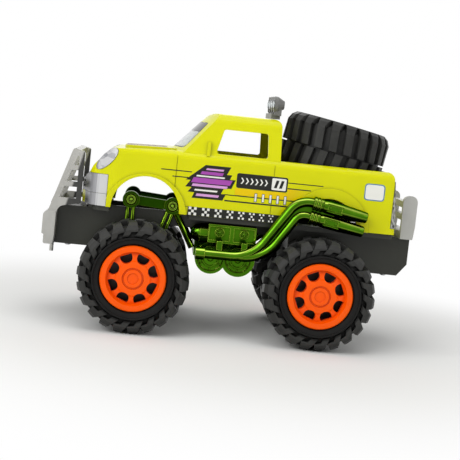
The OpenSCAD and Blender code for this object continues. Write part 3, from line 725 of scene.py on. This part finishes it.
# %% Hood stripes
# Two (X, Z) points on the hood's slope, and the ends of a stripe along X.
HOOD_FRONT, HOOD_BACK = (-90.0, 140.0), (-40.0, 141.8)
STRIPE_ENDS = (-87, -55)
# Columns: inner and outer edge from the middle, ink, layer.
STRIPES = [(5.0, 14.0, "white", 1), (6.0, 13.0, "plum", 2), (7.6, 11.4, "black", 3)]
slope = (HOOD_BACK[1] - HOOD_FRONT[1]) / (HOOD_BACK[0] - HOOD_FRONT[0])
stripes = bmesh.new()
for side in (-1, 1):
    for inner, outer, ink, layer in STRIPES:
        foot = HOOD_FRONT[1] + FILM_LIFT + FILM * (layer - 1)
        corners = [(x, side * y, foot + slope * (x - HOOD_FRONT[0]))
                   for x, y in bar(*STRIPE_ENDS, inner, outer)]
        film(stripes, corners, ink, (0, 0, FILM))
piece("hood_stripes", stripes, inks, smooth=FLAT)

# %% [markdown]
# ## Dark band
# A dark band lies along the top of the windscreen. It follows the pane's
# curve, so a copy of the pane is merged, cut by a level plane and grown by the
# band's thickness.

# %% Dark band
BAND_FOOT = 156.5
BAND_THICKNESS = 0.05
band = bmesh.new()
band.from_mesh(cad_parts["windscreen"].data)
bmesh.ops.remove_doubles(band, verts=band.verts, dist=1e-6)
cut = bmesh.ops.bisect_plane(band, geom=band.verts[:] + band.edges[:] + band.faces[:],
                             plane_co=(0, 0, BAND_FOOT * MM), plane_no=(0, 0, 1),
                             clear_inner=True)
rim = [e for e in cut["geom_cut"] if isinstance(e, bmesh.types.BMEdge)]
bmesh.ops.holes_fill(band, edges=rim, sides=0)
band.normal_update()
for vert in band.verts:
    vert.co += vert.normal * BAND_THICKNESS * MM
# A thin black film along the top of the pane.
dark_film = moulded("black_film_on_polystyrene", "#15160F", "#1B1C16", 0.12, 2.0, 0.05, shine=0.5)
piece("windscreen_dark_band", band, [dark_film])

# %% [markdown]
# ## Small hardware
# Round parts come from one profile each, spun about an axis. The helper takes
# radius and height pairs in millimetres, spins them about Z and then places
# the result, so a lamp lens, a knob or a screw head is a short list.


# %% Turning helpers
def turned(shape, profile, place, steps=24):
    """Spin a profile about Z and move the result to its place."""
    made = [shape.verts.new(Vector((r, 0, h)) * MM) for r, h in profile]
    line = [shape.edges.new(pair) for pair in zip(made, made[1:])]
    bmesh.ops.spin(shape, geom=made + line, cent=(0, 0, 0), axis=(0, 0, 1),
                   angle=2 * math.pi, steps=steps, use_merge=True)
    # A walk along the edges finds all that was spun; the list grows on the way.
    whole, known = list(made), set(made)
    for vert in whole:
        for edge in vert.link_edges:
            other = edge.other_vert(vert)
            if other not in known:
                known.add(other)
                whole.append(other)
    bmesh.ops.remove_doubles(shape, verts=whole, dist=1e-7)
    bmesh.ops.transform(shape, matrix=place, verts=[v for v in whole if v.is_valid])


def facing(point, toward):
    """Place a turned shape at a point in mm with its axis along a direction."""
    turn = Vector(toward).to_track_quat("Z", "Y").to_matrix().to_4x4()
    return Matrix.Translation(Vector(point) * MM) @ turn


def outward(x, z, side, y):
    """Place a turned shape on one side of the toy, y from its middle, looking outward."""
    return facing((x, side * y, z), (0, side, 0))


def ring_of_bolts(shape, bolt, x, z, side, y, radius, first, steps):
    """Six bolts on a circle round (x, z); first is the angle of the first one in degrees."""
    for k in range(6):
        a = math.radians(60 * k + first)
        place = outward(x + radius * math.cos(a), z + radius * math.sin(a), side, y)
        turned(shape, bolt, place, steps)


print("turning ready")

# %% [markdown]
# The four roof lamps get a plated bowl with a small bulb and a clear domed
# cover.

# %% Roof lamps
LAMPS, LAMP_X, LAMP_Z = 4, 26.8, 183.6
BAR_LONG, BAR_ENDS = 76.0, 22.0
LAMP_BOWL = [(0, 0.95), (0.7, 0.85), (1.1, 0.45), (1.2, 0.1), (3.0, 0.2), (4.6, 0.7), (5.0, 1.0),
             (5.0, 0.05), (0, 0.05)]
LAMP_COVER = [(0, 2.5), (1.5, 2.42), (3.0, 2.15), (4.3, 1.6), (5.1, 1.05), (5.1, 1.0),
              (4.2, 1.35), (3.0, 1.85), (1.5, 2.15), (0, 2.22)]
lamp_pitch = (BAR_LONG - BAR_ENDS) / (LAMPS - 1)
bowls = bmesh.new()
covers = bmesh.new()
for i in range(LAMPS):
    at = facing((LAMP_X, (i - (LAMPS - 1) / 2) * lamp_pitch, LAMP_Z), (-1, 0, 0))
    turned(bowls, LAMP_BOWL, at)
    turned(covers, LAMP_COVER, at)
piece("roof_lamp_bowls", bowls, [silver])
piece("roof_lamp_covers", covers, [clear])

# %% [markdown]
# On the engine each round boss gets a fluted knob with a ring of six bolts.

# %% Engine knobs
KNOBS = [(-7.6, 80.0), (11.7, 80.0)]
KNOB_Y = 42.92
KNOB = [(0, 0.9), (0.9, 0.8), (1.2, 0.35), (2.7, 0.3), (2.9, 0.8), (3.2, 0.8), (3.4, 0), (0, 0)]
KNOB_BOLT = [(0, 0.9), (0.45, 0.75), (0.6, 0.3), (0.6, 0), (0, 0)]
KNOB_RING, KNOB_FLOOR = 1.95, 0.25
knobs = bmesh.new()
for side in (-1, 1):
    for x, z in KNOBS:
        turned(knobs, KNOB, outward(x, z, side, KNOB_Y))
        ring_of_bolts(knobs, KNOB_BOLT, x, z, side, KNOB_Y + KNOB_FLOOR, KNOB_RING, 15, 10)
print("knob faces:", len(knobs.faces))

# %% [markdown]
# Each silencer gets two bolts on its flat panel, between two ribs that are
# bevelled bars. Its place follows from the way of its tube, straights and bends
# one after the other.

# %% Silencer bolts and ribs
PIPE_START, PIPE_Y, SILENCER_R = (-25.0, 64.0), 55.5, 5.4
LEAD_BEND, LEAD_TURN = 30.0, math.radians(57)
TOP_TURN = math.radians(-67)
# Columns: first straight, then the climb and the bend at its top, and the last straight.
TUBES = [(26.7, 31.0, 17.0, 1.0), (35.7, 22.6, 9.0, 2.8)]
PANEL_BOLT = [(0, 0.6), (0.75, 0.6), (0.95, 0.4), (0.95, 0), (0, 0)]
BOLT_RUNS, BOLT_SUNK = (12.7, 19.8), 0.48
RIB, RIB_RUN, RIB_UP = (12.6, 0.9, 0.8), 16.4, 2.8
RIB_OUT = math.sqrt(SILENCER_R ** 2 - RIB_UP ** 2)


def ahead(x, z, heading, run, up=0.0):
    """The point that is run further along a heading in the side view, and up above it."""
    return (x + run * math.cos(heading) - up * math.sin(heading),
            z + run * math.sin(heading) + up * math.cos(heading))


def follow(steps):
    """End point and heading of a pipe; a step is a straight, a bend radius and its angle."""
    (x, z), heading = PIPE_START, 0.0
    for way, bend, angle in steps:
        x, z = ahead(x, z, heading, way)
        up = math.copysign(bend * (1 - math.cos(angle)), angle)
        x, z = ahead(x, z, heading, bend * math.sin(abs(angle)), up)
        heading += angle
    return x, z, heading


def tube_steps(first, climb, top_bend, last):
    return [(first, LEAD_BEND, LEAD_TURN), (climb, top_bend, TOP_TURN), (last, 0, 0)]


def soft_bar(shape, middle, heading, size, soft=0.2):
    """A bevelled bar that leans in the side view; size is along, across and up in mm."""
    place = Matrix.Translation(Vector(middle) * MM) @ Matrix.Rotation(-heading, 4, "Y")
    place = place @ Matrix.Diagonal([v * MM for v in size] + [1.0])
    made = bmesh.ops.create_cube(shape, size=1.0, matrix=place)["verts"]
    edges = list(dict.fromkeys(e for v in made for e in v.link_edges))
    bmesh.ops.bevel(shape, geom=edges, offset=soft * MM, affect="EDGES", segments=2,
                    profile=0.5, material=-1)


for tube in TUBES:
    x, z, heading = follow(tube_steps(*tube))
    for side in (-1, 1):
        for run in BOLT_RUNS:
            bolt_x, bolt_z = ahead(x, z, heading, run)
            turned(knobs, PANEL_BOLT,
                   outward(bolt_x, bolt_z, side, PIPE_Y + SILENCER_R - BOLT_SUNK), 6)
        for up in (-RIB_UP, RIB_UP):
            rib_x, rib_z = ahead(x, z, heading, RIB_RUN, up)
            soft_bar(knobs, (rib_x, side * (PIPE_Y + RIB_OUT), rib_z), heading, RIB)
piece("engine_knobs", knobs, [fine_plated])

# %% [markdown]
# The two tubes of an exhaust come from one mould, and a thin web joins them from
# the fork to the silencers. Its two edges are the middles of the tubes. An edge
# loop runs along each, the loops are bridged, and the strip is extruded to the
# web's thickness.

# %% Exhaust webs
WEB = 2.4
WEB_END = 17.0
BEND_STEPS = 8


def edge_of_web(shape, side, tube):
    """Edges along the middle of a tube, through both of its bends and into its silencer."""
    lead, top, end = tube_steps(*tube)
    parts = [i / BEND_STEPS for i in range(BEND_STEPS + 1)]
    stops = [follow([(*lead[:2], lead[2] * part)]) for part in parts]
    stops += [follow([lead, (*top[:2], top[2] * part)]) for part in parts]
    stops.append(follow([lead, top, (end[0] + WEB_END, 0, 0)]))
    y = side * (PIPE_Y - WEB / 2)
    made = [shape.verts.new(Vector((x, y, z)) * MM) for x, z, heading in stops]
    return [shape.edges.new(pair) for pair in zip(made, made[1:])]


webs = bmesh.new()
for side in (-1, 1):
    loops = [edge for tube in TUBES for edge in edge_of_web(webs, side, tube)]
    strip = bmesh.ops.bridge_loops(webs, edges=loops)["faces"]
    thicken(webs, strip, (0, side * WEB, 0))
piece("exhaust_webs", webs, [plated])

# %% [markdown]
# The eyelets of the front suspension hold bushes with a round bolt head, and
# each lobe of the gearbox is closed by a ribbed cover with six bolts. Both are
# turned shapes with an axis across the toy.

# %% Suspension bushes and gearbox covers
EYELETS, EYELET_Y = [(-79.0, 98.2), (-46.0, 96.1)], 28.82
LOBES, LOBE_Y = [(-12.0, 57.0), (10.0, 57.5)], 23.02
BUSH = [(0, 2.7), (1.2, 2.5), (1.9, 1.8), (2.05, 0.8), (2.7, 0.8), (2.95, 2.3), (3.6, 2.3),
        (3.9, 1.0), (4.0, 0), (0, 0)]
LOBE_COVER = [(0, 1.2), (1.8, 1.1), (2.6, 0.4), (5.4, 0.4), (5.8, 1.1), (6.8, 1.1), (7.2, 0.4),
              (9.4, 0.4), (9.8, 0.9), (10.2, 0.7), (10.4, 0), (0, 0)]
LOBE_BOLT = [(0, 0.9), (0.6, 0.8), (0.8, 0.4), (0.8, 0), (0, 0)]
LOBE_RING, LOBE_FLOOR = 8.3, 0.35
bushes = bmesh.new()
lobe_covers = bmesh.new()
for side in (-1, 1):
    for x, z in EYELETS:
        turned(bushes, BUSH, outward(x, z, side, EYELET_Y))
    for x, z in LOBES:
        turned(lobe_covers, LOBE_COVER, outward(x, z, side, LOBE_Y), 32)
        ring_of_bolts(lobe_covers, LOBE_BOLT, x, z, side, LOBE_Y + LOBE_FLOOR, LOBE_RING, 30, 8)
piece("suspension_bushes", bushes, [highlit_bush_plated])
piece("gearbox_covers", lobe_covers, [fine_plated])

# %% [markdown]
# Eight pan-head screws close the chassis from below.

# %% Chassis screws
SCREW = [(0, 0.5), (0.9, 0.5), (0.9, 1.5), (1.5, 1.5), (2.4, 1.0), (2.8, 0.1), (2.8, 0), (0, 0)]
SCREW_X, SCREW_Y, CHASSIS_FOOT = (-126, -100, 100, 128), (-19, 19), 57.98
screws = bmesh.new()
for x in SCREW_X:
    for y in SCREW_Y:
        turned(screws, SCREW, facing((x, y, CHASSIS_FOOT), (0, 0, -1)))
piece("chassis_screws", screws, [wire])
